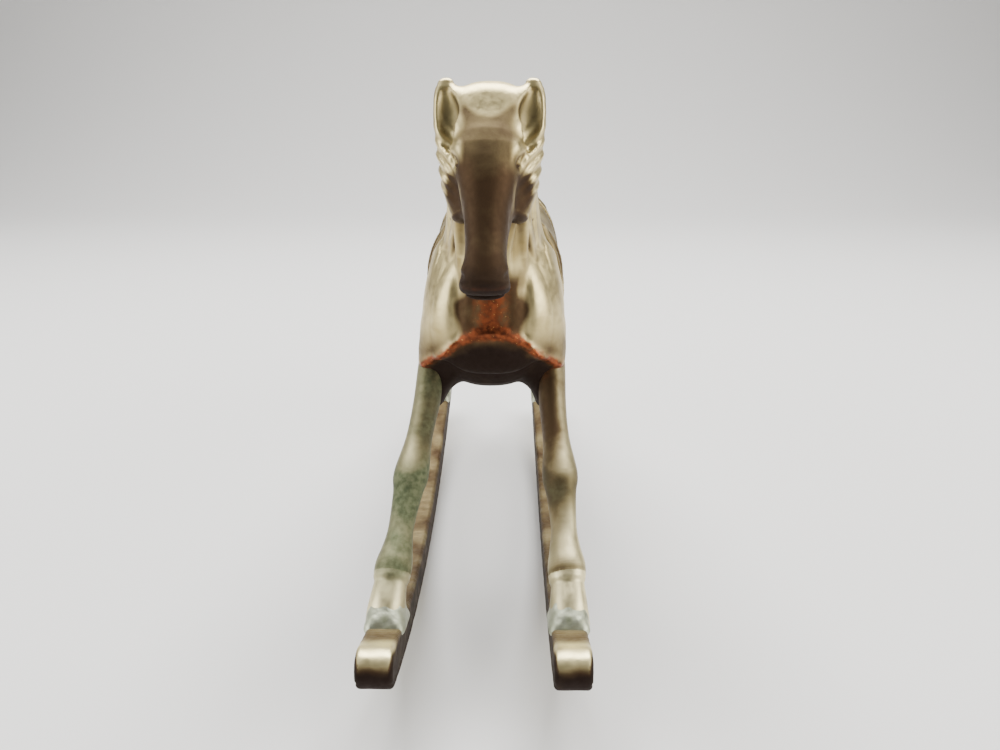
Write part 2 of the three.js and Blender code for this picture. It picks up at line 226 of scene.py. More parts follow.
def lock_of_hair(stations, bends, breadth, thickness, lift=0.2):
    """Stations of a lock lying on a bar: bends are (place along it 0-1, angle round it from +X)."""
    line = smooth_line(stations, 8)
    found = []
    for k, (place, angle) in enumerate(bends):
        row = place * (len(line) - 1)
        low = min(int(row), len(line) - 2)
        mid = line[low] + (row - low) * (line[low + 1] - line[low])
        along = line[low + 1, :3] - line[low, :3]
        out = np.array([0, -along[2], along[1]]) / math.hypot(along[1], along[2])
        turn = math.radians(angle)
        spot = mid[:3] - out * (mid[3] + lift) * math.sin(turn) + [(mid[4] + lift) * math.cos(turn), 0, 0]
        taper = (0.45, 0.9, 1.0, 0.9, 0.6, 0.25)[round(5 * k / (len(bends) - 1))]
        side_on = math.cos(turn) ** 2
        depth = (breadth * side_on + thickness * (1 - side_on)) * taper
        width = (thickness * side_on + breadth * (1 - side_on)) * taper
        found.append((spot[1], spot[2], max(depth, 0.3), max(width, 0.3), spot[0]))
    return found


def mane(at):
    hair = np.full(len(at), 9.0, np.float32)
    for k in range(8):
        top = 1.0 - 0.085 * k
        sway = 6 * math.sin(2.1 * k + 1)
        bends = [(top - 0.052 * j - 0.011 * j * j, 84 - 22 * j + sway * math.sin(1.6 * j)) for j in range(6)]
        bends = [(max(place, 0.03), angle) for place, angle in bends]
        lock = lock_of_hair(NECK, bends, 1.9 + 0.3 * math.sin(3 * k), 0.9, 0.1)
        hair = melt(hair, bar(at, lock, steps=3), 0.35)
    for k in range(5):
        top = 0.86 - 0.03 * (k % 3)
        foot = 0.03 + 0.05 * ((2 * k) % 3)
        wave = [9 * math.sin(1.25 * j + 1.7 * k) for j in range(6)]
        bends = [(top + (foot - top) * j / 5, -13 - 13 * k + wave[j]) for j in range(6)]
        hair = melt(hair, bar(at, lock_of_hair(NECK, bends, 1.5, 0.7, 0.1), steps=3), 0.2)
    return hair


def trunk(at):
    return bar(at, TRUNK, 2.25, 0.45)


def body(at):
    x, y, z = at.T
    whole = melt(trunk(at), bar(at, NECK, 2.15, 0.7), 5)
    fleshy = ((RUMP, 5), (SHOULDER, 6), (FORE_SLEEVE, 2.5), (FORE_WEB, 3), (HAUNCH, 6),
              (HIND_SLEEVE, 2.5), (HIND_WEB, 3))
    for stations, soft in fleshy:
        whole = melt(whole, bar(at, stations, 2.1, 0.85 if stations is RUMP else 0.45), soft)
    head = melt(bar(at, HEAD, 2.3, 0.55), bar(at, POLL, 2.6, 0.7), 4.0)
    head = melt(head, bar(at, CHEEK, 2.1, 0.7), 1.6)
    whole = melt(whole, head, 2.2)
    whole = carve(melt(whole, bar(at, EAR, 2.1), 1.8), bar(at, EAR_CUP, 2.0), 0.6)
    whole = melt(whole, mane(at), 0.9)
    # chest: a flat breast between two soft furrows, above the arched edge of the belly
    front = np.clip((-20 - y) / 6, 0, 1)
    furrow = np.exp(-((x - 6.6) / 1.3) ** 2) * np.clip((z - 57) / 5, 0, 1) * np.clip((77 - z) / 6, 0, 1)
    whole += 0.65 * furrow * front
    arch = [(-1, 62.9), (3, 62.4), (6, 60.9), (9, 58.3), (12, 55.8), (14.5, 54.0)]
    whole -= 0.75 * crease(at, arch, 1.1, (0, 2)) * front
    below = [(-1, 59.8), (3, 59.4), (6, 57.8), (9, 55.0), (12, 52.6)]
    whole += 0.3 * crease(at, below, 2.4, (0, 2)) * front
    # shoulder blade, elbow, ribs, flank and stifle
    whole += 0.5 * crease(at, [(-9.5, 80), (-10.5, 70), (-11.5, 60), (-15, 54)], 1.2)
    whole += 0.35 * crease(at, [(19, 78), (21.5, 68), (24, 58)], 1.6)
    whole -= 0.35 * swell(at, (13.5, -17.5, 66), (4, 4, 7))
    whole -= 0.4 * swell(at, (13.0, 28.5, 66), (4, 5, 7))
    # face: brow, combed tufts below the ears, eyes in their lids, hollow cheeks, nostrils, mouth
    whole -= 0.7 * swell(at, (6.4, -40.4, 102.4), (2.6, 2.6, 2.0))
    face_side = np.clip((-33 - y) / 3, 0, 1)
    tufts = np.clip(1.5 * swell(at, TUFTS, TUFTS_REACH), 0, 1) * face_side
    whole -= 0.21 * tufts * np.sin(2.7 * (z - 0.95 * (x - 8)))
    whole -= 0.45 * swell(at, (4.6, -44.4, 98.4), (2.0, 1.8, 2.2))
    whole += 0.9 * swell(at, (5.6, -44.2, 96.6), (1.2, 1.6, 1.1))
    eye = bar(at, [(-43.1, 98.0, 1.0, 0.85, 4.75), (-44.0, 96.5, 1.0, 0.85, 4.7)], 2, 0.9)
    whole = melt(whole, eye, 0.12)
    lids = np.sqrt((x - 4.8) ** 2 + (y + 43.6) ** 2 * 0.5 + (z - 97.2) ** 2 * 0.7)
    whole -= 0.16 * np.exp(-((lids - 1.9) / 0.5) ** 2)
    whole += 1.15 * swell(at, (6.0, -43.0, 91.0), (1.6, 2.6, 3.4))
    whole += 0.5 * swell(at, (4.2, -46.5, 88.0), (1.2, 2.0, 3.0))
    whole -= 0.3 * swell(at, (3.9, -52.8, 80.6), (1.2, 1.6, 1.2))
    whole += 0.9 * swell(at, (3.9, -53.9, 79.8), (0.6, 1.3, 0.5))
    whole += 0.7 * crease(at, [(-57, 76.9), (-53, 76.0), (-49, 77.4)], 0.42) * np.clip((80 - z) / 2, 0, 1)
    return whole


def measured(distance, points):
    """The distance at every point, taken in four lots at once."""
    lots = np.array_split(points.astype(np.float32), 4 * (1 + len(points) // 200000))
    with ThreadPoolExecutor(4) as hands:
        return np.concatenate(list(hands.map(distance, lots)))


def find_surface(distance, low, high, cell):
    """The outside of a solid as squares, one corner in each cell that the surface crosses."""
    axes = [np.arange(a, b + cell, cell) for a, b in zip(low, high)]
    shape = tuple(len(axis) for axis in axes)
    rough = [axis[::4] for axis in axes]
    spots = np.stack(np.meshgrid(*rough, indexing="ij"), -1).reshape(-1, 3)
    value = measured(distance, spots).reshape(tuple(len(axis) for axis in rough))
    for axis in range(3):
        value = np.repeat(value, 4, axis)
    value = value[:shape[0], :shape[1], :shape[2]].copy()
    close = abs(value) < 8 * cell
    value[close] = measured(distance, np.stack(np.meshgrid(*axes, indexing="ij"), -1)[close])
    inside = value < 0
    cells = tuple(n - 1 for n in shape)
    total = np.zeros(cells + (3,))
    count = np.zeros(cells)
    for axis in range(3):
        others = [k for k in range(3) if k != axis]
        for corner in ((0, 0), (0, 1), (1, 0), (1, 1)):
            shift = [0, 0, 0]
            shift[others[0]], shift[others[1]] = corner
            near = tuple(slice(shift[k], shift[k] + cells[k]) for k in range(3))
            ahead = tuple(slice(shift[k] + (k == axis), shift[k] + (k == axis) + cells[k]) for k in range(3))
            crossed = inside[near] != inside[ahead]
            part = value[near] / np.where(crossed, value[near] - value[ahead], 1)
            for k in range(3):
                total[..., k] += crossed * (part if k == axis else shift[k])
            count += crossed
    number = np.full(cells, -1)
    used = count > 0
    number[used] = np.arange(used.sum())
    corners = (np.argwhere(used) + total[used] / count[used][:, None]) * cell + np.array(low)
    squares = []
    for axis in range(3):
        u, v = (axis + 1) % 3, (axis + 2) % 3
        step = [0, 0, 0]
        step[axis] = 1
        near = tuple(slice(0, shape[k] - 1) if k == axis else slice(1, shape[k] - 1) for k in range(3))
        ahead = tuple(slice(1, shape[k]) if k == axis else slice(1, shape[k] - 1) for k in range(3))
        for outward in (True, False):
            crossed = (inside[near] & ~inside[ahead]) if outward else (~inside[near] & inside[ahead])
            at = np.argwhere(crossed)
            at = at + [0 if k == axis else 1 for k in range(3)]
            ring = []
            for du, dv in ((1, 1), (0, 1), (0, 0), (1, 0)):
                place = at.copy()
                place[:, u] -= du
                place[:, v] -= dv
                ring.append(number[tuple(place.T)])
            ring = np.stack(ring if outward else ring[::-1], 1)
            squares.append(ring)
    return corners, np.concatenate(squares)


def split_squares(corners, squares):
    """Each square as four, with the new corners half way."""
    edges = np.sort(np.stack([squares, np.roll(squares, -1, 1)], -1), -1).reshape(-1, 2)
    unique, which = np.unique(edges, axis=0, return_inverse=True)
    halves = which.reshape(-1, 4) + len(corners)
    middles = np.arange(len(squares)) + len(corners) + len(unique)
    points = np.vstack([corners, corners[unique].mean(1), corners[squares].mean(1)])
    small = [np.stack([squares[:, k], halves[:, k], middles, halves[:, k - 1]], 1) for k in range(4)]
    return points, np.concatenate(small)


def settle(distance, points, times):
    """Moves the points onto the surface, and gives the way out of it at each."""
    for _ in range(times):
        value = measured(distance, points)
        slope = np.stack([measured(distance, points + np.eye(3)[k] * 0.05) - value
                          for k in range(3)], 1) / 0.05
        steep = np.maximum((slope**2).sum(1), 0.25)
        points = points - np.clip(value / steep, -0.5, 0.5)[:, None] * slope
    return points, slope / np.sqrt((slope**2).sum(1) + 1e-12)[:, None]


def stand(points):
    """Upright mm to the standing horse in metres: the legs lean a little to the horse's own left."""
    rise = np.clip((points[:, 2] - 20) / 50, 0, 1)
    turn = MUZZLE_TURN * np.clip(-39 - points[:, 1], 0, 16) * np.clip((points[:, 2] - 66) / 8, 0, 1)
    lean = LEAN + LEAN_BEHIND * np.clip(points[:, 1] + 30, 0, 30)
    across = lean * np.sin(rise * math.pi / 2) - turn
    return on_floor(points + np.stack([across, 0 * rise, 0 * rise], 1))


def on_floor(points):
    placed = points.copy()
    placed[:, 1] += frame["record"]["mounts"][0]["pos_m"][1] * 1000
    return placed * 0.001


def surface(distance, low, high, cell):
    """A solid's outside: its corners and squares, the way out, and how hollow or ridged it is."""
    points, squares = split_squares(*find_surface(distance, low, high, cell))
    points, out = settle(distance, points, 2)
    near = 1 - measured(distance, points + out * NEAR_HOLLOW) / NEAR_HOLLOW
    wide = 1 - measured(distance, points + out * WIDE_HOLLOW) / WIDE_HOLLOW
    ridge = 1 + measured(distance, points - out * RIDGE_DEPTH) / RIDGE_DEPTH
    return points, squares, out, np.clip(0.6 * near + 0.5 * wide, 0, 1), np.clip(ridge, 0, 1)


def casting(name, shape, side, finish, paint, place=stand, halved=False):
    """A cast piece for one side of the horse, with its tones painted on and its ride declared."""
    points, squares, *surroundings = shape
    mesh = bpy.data.meshes.new(name)
    mesh.from_pydata((points * 0.001).tolist(), [], squares.tolist())
    for tone, value in paint(points, *surroundings).items():
        layer = mesh.attributes.new(tone, "FLOAT", "POINT")
        layer.data.foreach_set("value", np.clip(value, 0, 1).astype(np.float32))
    build = bmesh.new()
    build.from_mesh(mesh)
    if halved:
        everything = build.verts[:] + build.edges[:] + build.faces[:]
        sawn = bmesh.ops.bisect_plane(build, geom=everything, dist=1e-7, plane_co=(0, 0, 0),
                                      plane_no=(-1, 0, 0), clear_outer=True)
        rim = [edge for edge in sawn["geom_cut"] if isinstance(edge, bmesh.types.BMEdge)]
        bmesh.ops.contextual_create(build, geom=rim)
    drawn = np.array([vert.co for vert in build.verts]) * [1000 * side, 1000, 1000]
    for vert, spot in zip(build.verts, place(drawn).tolist()):
        vert.co = spot
    bmesh.ops.recalc_face_normals(build, faces=build.faces[:])
    build.to_mesh(mesh)
    build.free()
    mesh.shade_smooth()
    mesh.set_sharp_from_angle(angle=math.radians(55))
    mesh.materials.append(finish)
    piece = bpy.data.objects.new(name, mesh)
    bpy.context.scene.collection.objects.link(piece)
    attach(piece, "root")
    return piece


def aged_brass(name, polished=(0.72, 0.60, 0.30), dull=(0.30, 0.225, 0.09), rough=0.39, grain=1.0,
               filed=0.0):
    """Brass with its years on it, and with light and shade painted on. The piece's tones say where: wear and
    painted highlight, grime and painted shade, copper, green, and blackening with painted shade.
    """
    metal = bpy.data.materials.new(name)
    metal.use_nodes = True
    tree = metal.node_tree
    shader = tree.nodes["Principled BSDF"]

    def node(kind, **settings):
        made = tree.nodes.new(kind)
        for key, value in settings.items():
            setattr(made, key, value)
        return made

    def reckon(operation, a, b, clamp=False):
        made = node("ShaderNodeMath", operation=operation, use_clamp=clamp)
        for socket, value in zip(made.inputs, (a, b)):
            if isinstance(value, (int, float)):
                socket.default_value = value
            else:
                tree.links.new(value, socket)
        return made.outputs[0]

    def blotches(scale, detail, distortion=0.0):
        made = node("ShaderNodeTexNoise")
        made.inputs["Scale"].default_value = scale
        made.inputs["Detail"].default_value = detail
        made.inputs["Distortion"].default_value = distortion
        tree.links.new(place.outputs["Object"], made.inputs["Vector"])
        return made.outputs["Fac"]

    def coat(under, over, amount):
        made = node("ShaderNodeMix", data_type="RGBA")
        tree.links.new(amount, made.inputs["Factor"])
        for socket, value in ((made.inputs[6], under), (made.inputs[7], over)):
            if isinstance(value, tuple):
                socket.default_value = (*value, 1)
            else:
                tree.links.new(value, socket)
        return made.outputs[2]

    def edge(value, low, high):
        made = node("ShaderNodeMapRange", interpolation_type="SMOOTHSTEP")
        made.inputs["From Min"].default_value = low
        made.inputs["From Max"].default_value = high
        tree.links.new(value, made.inputs["Value"])
        return made.outputs["Result"]

    place = node("ShaderNodeTexCoord")
    tone = {key: node("ShaderNodeAttribute", attribute_name=key).outputs["Fac"]
            for key in ("worn", "grime", "copper", "green", "soot")}
    fine = blotches(900, 4)
    broad = blotches(230, 6, 0.3)
    specks = blotches(2600, 2)
    uneven = reckon("SUBTRACT", broad, 0.5)
    grit = reckon("SUBTRACT", fine, 0.5)

    # the lighter coat mixes real wear with painted highlights
    worn = edge(reckon("ADD", tone["worn"], reckon("MULTIPLY", uneven, 0.9)), 0.15, 0.8)
    grime = edge(reckon("ADD", tone["grime"], reckon("MULTIPLY", uneven, 0.6)), 0.12, 0.85)
    copper = reckon("MULTIPLY", tone["copper"], reckon("ADD", 1.0, reckon("MULTIPLY", grit, 1.1)))
    copper = edge(copper, 0.05, 0.85)
    green = reckon("MULTIPLY", tone["green"], reckon("ADD", 1.0, reckon("MULTIPLY", uneven, 0.9)))
    green = edge(green, 0.0, 1.0)

    colour = coat(dull, polished, worn)
    # the olive coats carry grime and painted shade alike
    darkening_depth = reckon("ADD", tone["grime"], reckon("MULTIPLY", uneven, 0.5))
    olive = coat((0.165, 0.122, 0.060), (0.066, 0.039, 0.020), edge(darkening_depth, 0.66, 1.02))
    colour = coat(colour, olive, grime)
    red = coat(coat((0.12, 0.036, 0.017), (0.26, 0.072, 0.028), edge(fine, 0.34, 0.68)), (0.62, 0.32, 0.10),
               edge(specks, 0.66, 0.78))
    colour = coat(colour, red, copper)
    # the near-black coat is mostly painted shade (under the chest arch and muzzle, on the face, under the
    # rocker noses), with dark patina in hollows
    soot = reckon("MULTIPLY", tone["soot"], reckon("ADD", 1.0, reckon("MULTIPLY", uneven, 1.2)))
    soot = edge(soot, 0.0, 0.95)
    colour = coat(colour, (0.016, 0.008, 0.005), soot)
    crust = coat((0.060, 0.074, 0.036), (0.190, 0.205, 0.110), edge(fine, 0.22, 0.86))
    colour = coat(colour, crust, green)
    tree.links.new(colour, shader.inputs["Base Color"])

    matt = reckon("ADD", reckon("MULTIPLY", grime, 0.12), reckon("MULTIPLY", green, 0.30), True)
    matt = reckon("ADD", matt, reckon("MULTIPLY", soot, 0.45), True)
    tree.links.new(reckon("SUBTRACT", 1.0, matt, True), shader.inputs["Metallic"])
    dullness = reckon("ADD", rough, reckon("MULTIPLY", grit, 0.35))
    dullness = reckon("ADD", dullness, reckon("MULTIPLY", matt, 0.4), True)
    dullness = reckon("ADD", dullness, reckon("MULTIPLY", grime, 0.14), True)
    shader.inputs["Specular IOR Level"].default_value = 0.2
    tree.links.new(dullness, shader.inputs["Roughness"])

    height = reckon("ADD", reckon("MULTIPLY", fine, 0.6 * grain), reckon("MULTIPLY", specks, 0.35 * grain))
    if filed:
        marks = node("ShaderNodeTexWave", bands_direction="Y")
        marks.inputs["Scale"].default_value = 520
        marks.inputs["Distortion"].default_value = 2.5
        marks.inputs["Detail"].default_value = 3
        tree.links.new(place.outputs["Object"], marks.inputs["Vector"])
        strokes = node("ShaderNodeAttribute", attribute_name="filing").outputs["Fac"]
        strokes = reckon("MULTIPLY", strokes, reckon("MULTIPLY", marks.outputs["Fac"], filed))
        height = reckon("ADD", height, strokes)
    relief = node("ShaderNodeBump")
    relief.inputs["Strength"].default_value = 0.35
    relief.inputs["Distance"].default_value = 0.00012
    tree.links.new(height, relief.inputs["Height"])
    tree.links.new(relief.outputs["Normal"], shader.inputs["Normal"])
    return metal


def paint_body(at, out, hollow, ridge):
    x, y, z = at.T
    forward = np.clip(-out[:, 1], 0, 1)
    upward = np.clip(out[:, 2], -1, 1)
    # painted shade: the face, the muzzle, the underside of the chin and the hollow cheeks are painted dark,
    # for the dark reflections and shadow they show
    face_shade = np.clip((5.2 + 0.5 * swell(at, (5, -43, 97), (4, 9, 4)) - x + 0.7 * mottle(at, 5)) / 1.6, 0, 1)
    face_shade *= np.clip((-36 - y) / 2, 0, 1) * np.clip((104.8 + 0.11 * x**2 - z) / 1.4, 0, 1)
    muzzle_shade = np.clip((82 - z) / 5, 0, 1) * np.clip((-44 - y) / 3, 0, 1)
    low_face = np.clip((100.5 - z) / 12, 0, 1)
    cheek_pit_shade = np.clip(swell(at, (6.2, -42.5, 91.0), (1.9, 3.2, 3.9)) * 1.6, 0, 1)
    in_ear = swell(at, (6.9, -39.0, 104.3), (2.2, 2.0, 3.8))
    # painted shade: the band under the chest arch, the breast and every downward-facing surface are painted
    # dark, and the lower front of the shoulders darker too
    arch_height = np.interp(x, [0, 3, 6, 9, 12, 14.5], [62.9, 62.4, 60.9, 58.3, 55.8, 54.0])
    front = np.clip((-17 - y) / 6, 0, 1)
    under = np.clip((arch_height - 0.6 - z) / 1.2, 0, 1) * front
    breast_shade = np.clip((7.6 - x + 1.0 * mottle(at, 6)) / 2.4, 0, 1) * front * np.clip((76 - z) / 4, 0, 1)
    facing_down_shade = np.clip((-upward - 0.1) / 0.5, 0, 1)
    tufts = np.clip(1.5 * swell(at, TUFTS, TUFTS_REACH), 0, 1) * (1 - face_shade)
    grime = 0.8 * hollow + 0.74 * face_shade + 0.55 * face_shade * low_face + 1.0 * cheek_pit_shade + 0.9 * muzzle_shade
    low_shoulder = np.clip((65 - z) / 7, 0, 1) * front * (1 - under)
    grime += 1.4 * under + 1.05 * breast_shade + 0.7 * facing_down_shade + 0.45 * in_ear
    grime += 0.6 * low_shoulder - 0.45 * tufts
    on_arch = np.exp(-((z - arch_height + 0.3 * mottle(at, 3)) / 1.1) ** 2)
    on_arch *= front * np.clip((15.5 - x) / 1, 0, 1)
    middle = np.exp(-((x - 0.3) / 3.1) ** 2) * front
    middle *= np.clip((z - 60) / 3, 0, 1) * np.clip((74 - z) / 3, 0, 1)
    lip = np.exp(-((z - 77.8) / 0.7) ** 2) * np.clip((-50 - y) / 2, 0, 1) * forward
    spot = swell(at, (13.4, -24.5, 52.0), (1.6, 4, 1.8))
    copper = 0.95 * on_arch + 0.85 * middle + 0.55 * lip + 0.8 * spot
    soot = 0.3 * face_shade * low_face + 0.25 * cheek_pit_shade + 0.6 * muzzle_shade + 0.4 * facing_down_shade
    soot += 1.3 * under * np.clip((arch_height - 0.5 - z) / 4, 0.25, 1)
    soot += np.clip(77.0 - z, 0, 1) * np.clip((-46 - y) / 2, 0, 1) - copper
    # real wear on the ridges, plus a painted highlight on upward-facing surfaces
    worn = 0.50 + 0.6 * ridge + 0.5 * upward - 0.5 * hollow - 0.5 * face_shade + 0.3 * tufts
    green = 0.35 * in_ear + 0.10 * hollow
    return {"worn": worn, "grime": grime - 0.5 * copper, "copper": copper, "green": green, "soot": soot}


horse_brass = aged_brass("horse_brass")
body_form = surface(body, (-1.4, -58, 45), (19, 46, 111.5), BODY_CELL)
for word, side in (("left", 1), ("right", -1)):
    half = casting(f"body_half_{word}", body_form, side, horse_brass, paint_body,
                   halved=True)
    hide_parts(f"body_shell_{word}")


# ---------------------------------------------------------------- fore and hind legs
# Four solid legs, each cast with its knee, fetlock and hoof, and plugged into the body by a spigot.
# Damp has turned the two right legs green; the fetlocks carry a painted highlight. The hooves stand on
# the rockers, so the line of the rockers' bars is given here with them.
FORELEG = [(-19.6, 54.2, 4.2, 3.4, 12.0), (-21.5, 51.5, 4.3, 3.4, 12.4), (-27.5, 45.4, 3.3, 2.8, 13.3),
           (-33.5, 40.4, 2.9, 2.7, 14.1), (-39.8, 35.6, 3.5, 3.5, 14.9), (-43.0, 33.0, 2.9, 2.9, 15.2),
           (-48.6, 28.9, 2.45, 2.45, 15.7), (-51.8, 26.5, 2.9, 2.9, 15.9),
           (-54.5, 24.5, 3.5, 3.5, 16.2), (-56.4, 23.1, 3.4, 3.4, 16.35)]
FORE_HOOF = [(-56.0, 23.3, 2.9, 2.9, 16.3), (-58.2, 21.6, 3.1, 3.15, 16.5), (-59.8, 20.1, 3.5, 3.4, 16.6),
             (-61.0, 18.4, 4.0, 3.6, 16.7), (-61.9, 16.2, 4.5, 3.8, 16.8)]
HINDLEG = [(33.5, 56.2, 6.0, 4.0, 10.9), (35.5, 54.0, 6.0, 3.9, 11.2), (41.5, 46.5, 4.5, 3.3, 12.1),
           (47.1, 39.6, 3.2, 2.7, 13.0), (50.7, 34.6, 3.7, 3.1, 13.9), (52.1, 30.4, 2.8, 2.6, 14.6),
           (53.3, 26.6, 2.4, 2.4, 15.3), (54.4, 23.0, 3.3, 3.3, 15.8), (54.8, 21.4, 3.2, 3.2, 16.0)]
HIND_HOOF = [(54.6, 22.4, 2.4, 2.4, 15.9), (54.9, 19.6, 2.7, 2.7, 16.2), (54.9, 17.8, 3.2, 3.1, 16.4),
             (54.7, 16.0, 4.0, 3.7, 16.8), (54.3, 12.8, 4.6, 3.9, 16.9)]
HOCK = [(51.5, 38.0, 1.2, 1.0, 13.3), (54.4, 36.4, 1.1, 1.0, 13.8), (55.2, 32.0, 0.7, 0.7, 14.4)]
LEG_CELL = 0.44
HOOF_INTO_BAR = 0.5
ROLL_RADIUS = 189.97
BAR_HALF_DEEP = 3.45
BAR_HALF_WIDE = 3.2
FRONT_END = math.asin(77 / 190) - 0.0006
REAR_END = math.asin(77 / 190) * 10.5 / 11.5 - 0.0006
BAR_RADIUS = ROLL_RADIUS - BAR_HALF_DEEP


def along_rocker(at):
    """Across, up and beyond the end of the rocker's bar, and the place along it, in mm."""
    x, y, z = at.T
    across = x - (17.0 - 0.8 * (y / 77) ** 2)
    up = BAR_RADIUS - np.hypot(y, ROLL_RADIUS - z)
    angle = np.arctan2(y, ROLL_RADIUS - z)
    beyond = BAR_RADIUS * np.maximum(np.maximum(-angle - FRONT_END, angle - REAR_END), 0)
    return across, up, beyond, BAR_RADIUS * angle


def down_to_rocker(at, leg):
    """The leg as far as just below the top of its rocker."""
    return -melt(-leg, along_rocker(at)[1] - BAR_HALF_DEEP + HOOF_INTO_BAR, 0.2)


def foreleg(at):
    leg = bar(at, FORELEG, 2.15, 0.55, steps=5)
    leg += 0.3 * crease(at, [(-24.0, 46.0), (-31.0, 39.6), (-36.5, 35.0)], 0.7)
    leg += 0.3 * crease(at, [(-45.0, 29.5), (-50.5, 25.0)], 0.6)
    leg -= 0.3 * swell(at, (14.4, -42.2, 36.4), (2.2, 1.8, 1.8))
    return down_to_rocker(at, melt(leg, bar(at, FORE_HOOF, 2.15, 0.1, steps=5), 0.4))


def hindleg(at):
    leg = bar(at, HINDLEG, 2.15, 0.55, steps=5)
    leg = melt(leg, bar(at, HOCK), 1.6)
    leg += 0.35 * crease(at, [(43.0, 48.5), (48.6, 42.0), (51.8, 37.5)], 0.7)
    return down_to_rocker(at, melt(leg, bar(at, HIND_HOOF, 2.15, 0.1, steps=5), 0.4))


def paint_leg(side, knee_z, fetlock_z):
    """The tones of a leg on one side of the horse, with its knee and fetlock at these heights."""
    def paint(at, out, hollow, ridge):
        x, y, z = at.T
        outer = np.clip(out[:, 0] * 0.5 + 0.5, 0, 1)
        facing_highlight = np.clip(-out[:, 1] * 0.6 + out[:, 2] * 0.8, 0, 1)
        knee = np.exp(-((z - knee_z) / 3.4) ** 2)
        shin = np.clip((knee_z + 2 - z) / 3, 0, 1) * np.clip((z - fetlock_z + 3) / 4, 0, 1)
        fetlock_highlight = np.exp(-((z - fetlock_z) / 1.9) ** 2)
        hoof = np.clip((fetlock_z - 3.4 - z) / 2, 0, 1)
        notch = np.exp(-((z - fetlock_z + 2.2) / 0.6) ** 2)
        inner = np.clip(0.45 - out[:, 0], 0, 1)
        top = np.clip((z - 48.5) / 4, 0, 1)
        damp = side < 0
        upper = np.clip((z - knee_z - 2) / 5, 0, 1)
        grime = 0.7 * hollow + 0.5 * knee + 0.3 * inner + 0.5 * upper + 0.4 * upper * inner
        grime += 0.28 * shin - 0.35 * fetlock_highlight
        green = 0.15 * shin + 0.25 * knee + 0.12 * hollow + 0.12 * upper
        if damp:
            green += 0.75 * knee * (1 - 0.3 * outer) + 0.55 * shin + 0.35 * hoof + 0.42 * upper
        else:
            grime += 0.12 * knee + 0.10 * upper
        copper = 0.5 * top * inner * np.clip(-out[:, 1], 0, 1)
        # real wear on the ridges, plus painted highlights on the fetlocks and on surfaces facing forward and
        # up
        worn = 0.35 + 0.6 * ridge + 0.35 * facing_highlight + 0.3 * fetlock_highlight + 0.25 * hoof
        worn -= 0.5 * hollow + 0.3 * knee
        return {"worn": worn, "grime": grime, "copper": copper, "green": green,
                "soot": 0.3 * notch * hollow}
    return paint


leg_brass = aged_brass("leg_brass", polished=(0.74, 0.66, 0.38), dull=(0.28, 0.24, 0.12), rough=0.41)
foreleg_form = surface(foreleg, (7, -69, 11), (22, -12, 60), LEG_CELL)
hindleg_form = surface(hindleg, (5, 26, 8), (22, 63, 63), LEG_CELL)
for word, side in (("left", 1), ("right", -1)):
    fore = casting(f"foreleg_{word}_cast", foreleg_form, side, leg_brass,
                   paint_leg(side, 36.0, 24.4))
    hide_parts(f"foreleg_{word}")
    hind = casting(f"hindleg_{word}_cast", hindleg_form, side, leg_brass,
                   paint_leg(side, 35.0, 22.4))
    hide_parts(f"hindleg_{word}")


# ---------------------------------------------------------------- tail
# One solid casting of combed locks that stands out from the rump and hangs down behind it,
# plugged into the body and soldered. It was never polished between the locks.
TAIL = [(39.0, 69.6, 2.3, 2.3), (42.5, 71.9, 2.6, 2.5), (46.5, 73.4, 3.1, 2.8), (52.0, 70.6, 4.0, 3.3),
        (56.0, 63.0, 4.4, 3.6), (59.0, 53.5, 4.0, 3.3), (62.3, 44.8, 2.9, 2.6), (65.6, 39.2, 1.3, 1.3)]


def tail(at):
    hair = bar(at, TAIL, 2.0, 0.8, steps=5)
    for k in range(9):
        bends = [(0.12 + 0.168 * j, 40 * k + 14 * j + 9 * math.sin(1.9 * j + k)) for j in range(6)]
        lock = lock_of_hair(TAIL, bends, 1.5, 1.0, -0.35)
        hair = melt(hair, bar(at, lock, steps=4), 0.3)
    return hair


def paint_tail(at, out, hollow, ridge):
    worn = 0.35 + 0.8 * ridge - 0.6 * hollow
    return {"worn": worn, "grime": 0.95 * hollow + 0.25 + 0.2 * mottle(at, 7), "copper": 0.25 * hollow,
            "green": 0.2 * hollow + 0.1 * mottle(at, 9, 2), "soot": 0.5 * hollow - 0.1}


tail_form = surface(tail, (-7, 36, 35), (7, 70, 80), 0.42)
tail_piece = casting("tail_cast", tail_form, 1, horse_brass, paint_tail)
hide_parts("tail")


# ---------------------------------------------------------------- saddle
# A separate casting laid over the back: a seat between a raised pommel and cantle, flaps in two
# layers with a stitched border and a small rosette on each side. Darker brass, worn on its edges.
SEAT = [(-12.5, 64.8, 19.0, 14.7), (-9.0, 64.8, 18.9, 15.0), (-1.5, 65.0, 17.0, 15.1),
        (7.0, 65.4, 17.0, 15.0), (13.0, 65.9, 18.9, 14.9), (16.5, 66.0, 18.8, 14.7)]
FLAP_CORNERS = [(-12.0, 84.0), (-12.0, 76.0), (-11.8, 69.5), (-10.4, 63.5), (-8.2, 59.0), (-4.6, 57.1),
                (0.0, 56.9), (4.6, 57.3), (7.6, 60.0), (9.6, 64.0), (12.6, 68.6), (15.6, 73.0),
                (16.2, 78.0), (16.2, 84.0)]
ROSETTE = (0.8, 65.6)
SADDLE_CLEARANCE = 0.45


